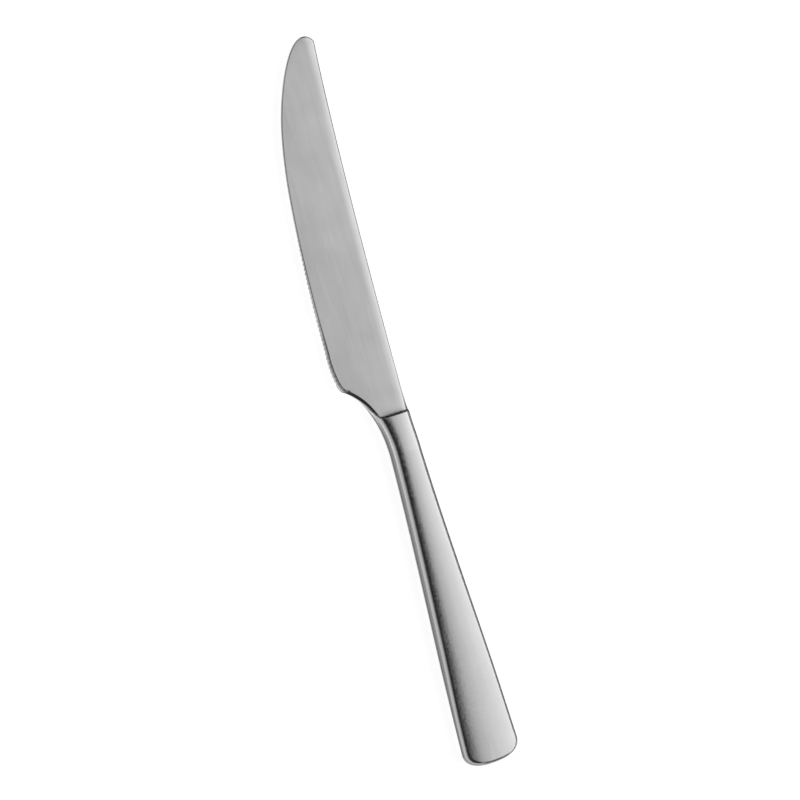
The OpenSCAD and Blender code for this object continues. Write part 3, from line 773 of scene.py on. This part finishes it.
def make_camera():
    """Looks at the aim from the cutting edge's side by the lean, from the nose's side by the
    tilt, and turned about its own axis by the roll."""
    lean, tilt, roll = (math.radians(a) for a in (VIEW_LEAN, VIEW_TILT, VIEW_ROLL))
    back = Vector((-math.sin(lean) * math.cos(tilt), math.sin(tilt),
                   math.cos(lean) * math.cos(tilt)))
    up = Vector((0, 1, 0))
    up = (up - back * up.dot(back)).normalized()
    right = up.cross(back)
    turned_up = up * math.cos(roll) + right * math.sin(roll)
    turned_right = right * math.cos(roll) - up * math.sin(roll)
    camera = bpy.data.cameras.new("camera")
    camera.lens, camera.sensor_width = LENS, SENSOR
    camera.clip_end = CLIP_END
    rig = bpy.data.objects.new("camera", camera)
    bpy.context.scene.collection.objects.link(rig)
    aim = Vector(placed(np.array(AIM)))
    turn = Matrix((turned_right, turned_up, back)).transposed()
    distance = VIEW_SPAN * MM * LENS / SENSOR
    rig.matrix_world = Matrix.Translation(aim + back * distance) @ turn.to_4x4()
    bpy.context.scene.camera = rig


# Floor: half its width in metres, its paint, and the light that it adds for some rays
FLOOR_HALF = 12.0
FLOOR_GREY = 0.6
FLOOR_LIFT = 0.8


def make_floor():
    """A plain pale square whose white comes partly from a lift that camera, glossy and
    transmission rays see, so that the knife's shadow stays on it."""
    corners = np.array([(-1, -1, 0), (1, -1, 0), (1, 1, 0), (-1, 1, 0)], float) * FLOOR_HALF
    floor = new_object("floor", corners, [(0, 1, 2, 3)])
    material, make = new_material("pale_floor")
    rays = [make.node("ShaderNodeLightPath", output=name)
            for name in ("Is Camera Ray", "Is Glossy Ray", "Is Transmission Ray")]
    seen = rays[0].most(rays[1]).most(rays[2])
    paint = make.node("ShaderNodeBsdfDiffuse", None, {"Color": (FLOOR_GREY,) * 3 + (1,)})
    lift = make.node("ShaderNodeEmission", None, {"Strength": seen * FLOOR_LIFT})
    both = make.node("ShaderNodeAddShader", None, {0: paint, 1: lift})
    make.node("ShaderNodeOutputMaterial", None, {"Surface": both})
    floor.data.materials.append(material)


# The card's outline: its rows along the bolster and blade, how far it stays off the nose's very
# end, and how many points on each side give its direction
OUTLINE_ROWS, NOSE_GUARD, OUTLINE_REACH = 200, 0.02, 3
# The card: its gap to the knife, its width, its height over the floor, and its rings of points
CARD_GAP, CARD_WIDTH, CARD_Z, CARD_RINGS = 0.8, 50.0, 0.15, 9
# Its greys next to the knife and far from it, on each side
EDGE_GREYS, BACK_GREYS, BUTT_GREYS, CHOIL_GREYS = (0.15, 1.05), (0.1, 0.1), (0.6, 0.6), (0.05, 2.8)
# How far its outward direction dips towards the butt before it faces the butt or the choil, and
# the further dip that completes the change
FACING_FROM, FACING_RUN = 0.1, 0.4


def knife_outline():
    """The knife's outline from above, anticlockwise from the butt: right side, nose, left side."""
    handle, _ = outline_rows()
    half = len(handle) // 2
    y = np.linspace(MOUTH_Y, NOSE_Y - NOSE_GUARD, OUTLINE_ROWS)
    right = np.stack([back_x(y), y], axis=1)
    left = np.stack([edge_x(y), y], axis=1)[::-1]
    return np.concatenate([handle[half:], right, left, handle[:half]])


def card_grey(outline, out, reach):
    """Grey of the card at each point: it goes from the grey next to the knife to the far one,
    slowly along the edge, and at once past a dark rim where it faces the choil. The greys
    follow the way that the outline faces: the edge, the back, the butt's end or the choil."""
    back = ease((out[:, :1] + 1) / 2)
    low = ease(-(out[:, 1:] + FACING_FROM) / FACING_RUN)
    butt = low * (outline[:, 1:] < BUTT_HUB)
    choil = low * (outline[:, 1:] > MOUTH_Y)
    near, far = (blend(blend(blend(edge, spine, back), end, butt), throat, choil)
                 for edge, spine, end, throat in zip(EDGE_GREYS, BACK_GREYS, BUTT_GREYS, CHOIL_GREYS))
    slow = np.sqrt(reach)
    return blend(near, far, blend(slow, np.clip((CARD_RINGS - 1) * slow - 1, 0, 1), choil))


def make_card():
    """A grey card laid round the knife, seen only in reflections: it draws the dark outline
    that satin metal has against a white ground. Its rings are the knife's outline, moved out
    square to itself by the gap and by a share of the width that grows as a square."""
    outline = knife_outline()
    along = (np.roll(outline, -OUTLINE_REACH, axis=0)
             - np.roll(outline, OUTLINE_REACH, axis=0))
    along /= np.linalg.norm(along, axis=1)[:, None]
    out = np.stack([along[:, 1], -along[:, 0]], axis=1)
    reach = np.linspace(0, 1, CARD_RINGS) ** 2
    flat = outline[:, None] + out[:, None] * (CARD_GAP + CARD_WIDTH * reach)[None, :, None]
    points = np.concatenate([flat, np.full(flat.shape[:2] + (1,), CARD_Z - REST_Z)], axis=2)
    rows = len(points)
    faces = grid_faces(rows, CARD_RINGS)
    ring = np.arange(CARD_RINGS - 1)
    last = (rows - 1) * CARD_RINGS
    faces += np.stack([last + ring, last + ring + 1, ring + 1, ring], axis=-1).tolist()
    card = new_object("edge_card", placed(points.reshape(-1, 3)), faces)
    set_mark(card.data, "grey", card_grey(outline, out, reach))
    material, make = new_material("grey_card")
    grey = make.node("ShaderNodeAttribute", {"attribute_name": "grey"}, output="Fac")
    paper = make.node("ShaderNodeEmission", None, {"Strength": grey})
    make.node("ShaderNodeOutputMaterial", None, {"Surface": paper})
    card.data.materials.append(material)
    card.visible_camera = card.visible_diffuse = card.visible_shadow = False


# Brightness of the surroundings by the turn round the knife's length, from the right over the
# top to the left: one long softbox on each side, and a dark gap where the camera stands
SOFTBOX_STOPS = ((0.0, 0.05), (0.065, 0.08), (0.11, 0.6), (0.15, 1.3), (0.19, 1.3), (0.235, 1.06),
                 (0.29, 0.93), (0.37, 0.79), (0.405, 0.67), (0.44, 0.59), (0.467, 0.43), (0.49, 0.075),
                 (0.51, 0.025), (0.67, 0.025), (0.71, 0.07), (0.77, 0.3), (0.83, 0.5), (0.9, 0.67),
                 (1.0, 0.66))
SOFTBOX_GAIN = 1.3
# Flags, wall and panel, in components of the direction's unit vector. A pair of numbers holds
# the start and the end of a soft change.
FLAG_Y, FLAG_X, FLAG_HALF_W, FLAG_CUT = (0.22, 0.8), 0.4, (0.2, 0.36), 0.97
END_WALL_Y, END_WALL_LIGHT = (0.8, 0.93), 0.7
PANEL_NEAR_Y, PANEL_FAR_Y, PANEL_X, PANEL_HALF_W = (0.07, 0.17), (0.25, 0.4), -0.08, (0.07, 0.17)
PANEL_LIGHT = 0.45


def make_world():
    """Surroundings whose brightness is a ramp over the angle round the knife's length. Dark flags
    towards both ends take light away, low behind them stands a pale wall, and past the camera's
    gap a narrow pale panel hangs on the nose's side."""
    world = bpy.data.worlds.new("studio")
    bpy.context.scene.world = world
    world.use_nodes = True
    make = Maker(world.node_tree)
    place = make.node("ShaderNodeTexCoord", output="Generated")
    parts = make.node("ShaderNodeSeparateXYZ", None, {"Vector": place})
    x, y, z = (parts.sibling(axis) for axis in "XYZ")
    turn = z.size().angle_from(x) / math.pi
    level = make.node("ShaderNodeValToRGB", {"stops": SOFTBOX_STOPS}, {"Fac": turn})
    wall = y.size().between(*END_WALL_Y)
    flags = y.size().between(*FLAG_Y) * (1 - (x - FLAG_X).size().between(*FLAG_HALF_W))
    panel = (y.between(*PANEL_NEAR_Y) * (1 - y.between(*PANEL_FAR_Y))
             * (1 - (x - PANEL_X).size().between(*PANEL_HALF_W)))
    light = ((SOFTBOX_GAIN * level * (1 - wall) + END_WALL_LIGHT * wall) * (1 - FLAG_CUT * flags)
             + PANEL_LIGHT * panel)
    background = make.node("ShaderNodeBackground", None,
                           {"Color": (1, 1, 1, 1), "Strength": light})
    make.node("ShaderNodeOutputWorld", None, {"Surface": background})


def main():
    """The camera and the studio, the knife's pieces with their steel, and the hidden cement."""
    make_camera()
    make_floor()
    make_world()
    make_card()
    blade_steel = satin_steel("satin_blade", *BLADE_FINISH)
    handle_steel = satin_steel("satin_handle", *HANDLE_FINISH)
    braze = satin_steel("ground_braze", *BRAZE_FINISH)
    pieces = ((make_blade(), blade_steel),
              (make_shell("front_half", "front_shell", 1, GRIP_T), handle_steel),
              (make_shell("back_half", "back_shell", -1, REST_Z), handle_steel),
              (make_seam(), braze), (make_mouth(), braze))
    for piece, material in pieces:
        piece.data.materials.append(material)
    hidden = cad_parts["tang_cement"]
    hidden.data.materials.clear()
    hidden.data.materials.append(cement())
    bpy.context.scene.view_settings.view_transform = "Standard"


main()
